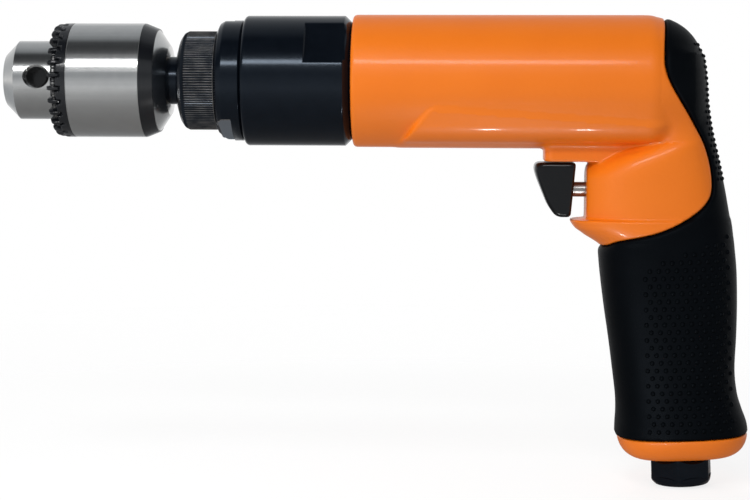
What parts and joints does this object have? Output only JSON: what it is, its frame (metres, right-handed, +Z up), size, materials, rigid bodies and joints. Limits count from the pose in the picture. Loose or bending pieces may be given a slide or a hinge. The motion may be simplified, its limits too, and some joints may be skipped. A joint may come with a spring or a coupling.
{
  "type": "air drill",
  "caption": "Pistol-grip pneumatic drill with a keyed three-jaw chuck, planetary gear case, vane motor, sprung trigger valve, rubber-covered grip and threaded air inlet under the handle.",
  "frame": {"origin": "on the spindle axis, at the centre of the chuck's nose face", "axes": "-X the drilling direction, +Z up with the grip hanging down to -Z, Y across the tool"},
  "size_m": [0.235, 0.0416, 0.1482],
  "materials": {
    "orange_enamel": "gloss orange enamel on cast aluminium",
    "grip_rubber": "matte black moulded rubber with small raised dots",
    "black_oxide": "black oxide on turned steel",
    "trigger_black": "black moulded plastic",
    "ground_steel": "ground bright steel",
    "sleeve_steel": "ground steel with blackened teeth and back edge",
    "tool_steel": "machined and hardened steel",
    "bearing_steel": "polished bearing steel",
    "brass": "turned brass",
    "seal_rubber": "black nitrile",
    "vane_resin": "cloth-filled resin",
    "felt": "pressed felt"
  },
  "bodies": {
    "housing": {"pistol_housing": "orange_enamel", "grip_sleeve": "grip_rubber", "exhaust_cap": "orange_enamel", "muffler_ring": "felt", "inlet_bushing": "black_oxide", "inlet_screen": "bearing_steel", "inlet_seal": "seal_rubber", "valve_bushing": "brass", "valve_spring": "bearing_steel", "valve_plug": "brass", "stem_seal": "seal_rubber", "motor_cylinder": "tool_steel", "cylinder_dowel": "bearing_steel", "front_end_plate": "tool_steel", "rear_end_plate": "tool_steel", "rotor_front_outer_race": "bearing_steel", "rotor_rear_outer_race": "bearing_steel", "ring_gear": "tool_steel", "gear_spacer": "tool_steel", "gear_case": "black_oxide", "lock_ring": "black_oxide", "bearing_cap": "black_oxide", "spindle_front_outer_race": "bearing_steel", "spindle_rear_outer_race": "bearing_steel", "spindle_seal": "felt"},
    "trigger": {"trigger": "trigger_black", "throttle_stem": "tool_steel", "valve_seal": "seal_rubber", "trigger_pin": "bearing_steel"},
    "rotor": {"rotor": "tool_steel", "rotor_vanes": "vane_resin", "drive_pinion": "tool_steel", "rotor_front_inner_race": "bearing_steel", "rotor_rear_inner_race": "bearing_steel"},
    "rotor_front_balls": {"rotor_front_balls": "bearing_steel"},
    "rotor_rear_balls": {"rotor_rear_balls": "bearing_steel"},
    "spindle_front_balls": {"spindle_front_balls": "bearing_steel"},
    "spindle_rear_balls": {"spindle_rear_balls": "bearing_steel"},
    "first_carrier": {"first_carrier": "tool_steel", "first_planet_pins": "bearing_steel"},
    "first_planet_1": {"first_planet_1": "tool_steel"},
    "first_planet_2": {"first_planet_2": "tool_steel"},
    "first_planet_3": {"first_planet_3": "tool_steel"},
    "second_planet_1": {"second_planet_1": "tool_steel"},
    "second_planet_2": {"second_planet_2": "tool_steel"},
    "second_planet_3": {"second_planet_3": "tool_steel"},
    "spindle": {"spindle": "tool_steel", "second_planet_pins": "bearing_steel", "spindle_front_inner_race": "bearing_steel", "spindle_rear_inner_race": "bearing_steel", "spindle_collar": "black_oxide", "chuck_body": "ground_steel"},
    "chuck_sleeve": {"chuck_sleeve": "sleeve_steel", "chuck_nut": "tool_steel"},
    "jaw_1": {"jaw_1": "tool_steel"},
    "jaw_2": {"jaw_2": "tool_steel"},
    "jaw_3": {"jaw_3": "tool_steel"}
  },
  "joints": [
    {"name": "rotor_spin", "type": "hinge", "parent": "housing", "child": "rotor", "pos_m": [0.146, 0, 0], "axis": [1, 0, 0], "continuous": true},
    {"name": "spindle_spin", "type": "hinge", "parent": "housing", "child": "spindle", "pos_m": [0.06, 0, 0], "axis": [1, 0, 0], "continuous": true},
    {"name": "first_carrier_spin", "type": "hinge", "parent": "housing", "child": "first_carrier", "pos_m": [0.0925, 0, 0], "axis": [1, 0, 0], "continuous": true},
    {"name": "first_planet_1_spin", "type": "hinge", "parent": "first_carrier", "child": "first_planet_1", "pos_m": [0.0982, 0, -0.00975], "axis": [1, 0, 0], "continuous": true},
    {"name": "first_planet_2_spin", "type": "hinge", "parent": "first_carrier", "child": "first_planet_2", "pos_m": [0.0982, 0.00844, 0.00487], "axis": [1, 0, 0], "continuous": true},
    {"name": "first_planet_3_spin", "type": "hinge", "parent": "first_carrier", "child": "first_planet_3", "pos_m": [0.0982, -0.00844, 0.00487], "axis": [1, 0, 0], "continuous": true},
    {"name": "second_planet_1_spin", "type": "hinge", "parent": "spindle", "child": "second_planet_1", "pos_m": [0.086, 0, -0.00975], "axis": [1, 0, 0], "continuous": true},
    {"name": "second_planet_2_spin", "type": "hinge", "parent": "spindle", "child": "second_planet_2", "pos_m": [0.086, 0.00844, 0.00487], "axis": [1, 0, 0], "continuous": true},
    {"name": "second_planet_3_spin", "type": "hinge", "parent": "spindle", "child": "second_planet_3", "pos_m": [0.086, -0.00844, 0.00487], "axis": [1, 0, 0], "continuous": true},
    {"name": "rotor_front_balls_orbit", "type": "hinge", "parent": "housing", "child": "rotor_front_balls", "pos_m": [0.112, 0, 0], "axis": [1, 0, 0], "continuous": true},
    {"name": "rotor_rear_balls_orbit", "type": "hinge", "parent": "housing", "child": "rotor_rear_balls", "pos_m": [0.177, 0, 0], "axis": [1, 0, 0], "continuous": true},
    {"name": "spindle_front_balls_orbit", "type": "hinge", "parent": "housing", "child": "spindle_front_balls", "pos_m": [0.0602, 0, 0], "axis": [1, 0, 0], "continuous": true},
    {"name": "spindle_rear_balls_orbit", "type": "hinge", "parent": "housing", "child": "spindle_rear_balls", "pos_m": [0.0749, 0, 0], "axis": [1, 0, 0], "continuous": true},
    {"name": "sleeve_turn", "type": "hinge", "parent": "spindle", "child": "chuck_sleeve", "pos_m": [0.03, 0, 0], "axis": [1, 0, 0], "range_deg": [-2340, 1890]},
    {"name": "jaw_1_slide", "type": "slide", "parent": "spindle", "child": "jaw_1", "axis": [0.9659, -0.1485, -0.212], "range_m": [-0.0083, 0.0067]},
    {"name": "jaw_2_slide", "type": "slide", "parent": "spindle", "child": "jaw_2", "axis": [0.9659, 0.2578, -0.0226], "range_m": [-0.0083, 0.0067]},
    {"name": "jaw_3_slide", "type": "slide", "parent": "spindle", "child": "jaw_3", "axis": [0.9659, -0.1094, 0.2346], "range_m": [-0.0083, 0.0067]},
    {"name": "trigger_pull", "type": "slide", "parent": "housing", "child": "trigger", "axis": [1, 0, 0], "range_m": [0, 0.003], "stiffness_N_per_m": 1500, "springref_m": -0.002, "deforming": ["valve_spring"]}
  ],
  "couplings": [
    {"joint": "spindle_spin", "follows": "rotor_spin", "ratio": 0.0625},
    {"joint": "first_carrier_spin", "follows": "rotor_spin", "ratio": 0.25},
    {"joint": "first_planet_1_spin", "follows": "rotor_spin", "ratio": -0.75},
    {"joint": "first_planet_2_spin", "follows": "rotor_spin", "ratio": -0.75},
    {"joint": "first_planet_3_spin", "follows": "rotor_spin", "ratio": -0.75},
    {"joint": "second_planet_1_spin", "follows": "rotor_spin", "ratio": -0.1875},
    {"joint": "second_planet_2_spin", "follows": "rotor_spin", "ratio": -0.1875},
    {"joint": "second_planet_3_spin", "follows": "rotor_spin", "ratio": -0.1875},
    {"joint": "rotor_front_balls_orbit", "follows": "rotor_spin", "ratio": 0.36012},
    {"joint": "rotor_rear_balls_orbit", "follows": "rotor_spin", "ratio": 0.40143},
    {"joint": "spindle_front_balls_orbit", "follows": "rotor_spin", "ratio": 0.024955},
    {"joint": "spindle_rear_balls_orbit", "follows": "rotor_spin", "ratio": 0.025656},
    {"joint": "jaw_1_slide", "follows": "sleeve_turn", "m_per_rad": 0.000202},
    {"joint": "jaw_2_slide", "follows": "sleeve_turn", "m_per_rad": 0.000202},
    {"joint": "jaw_3_slide", "follows": "sleeve_turn", "m_per_rad": 0.000202}
  ]
}
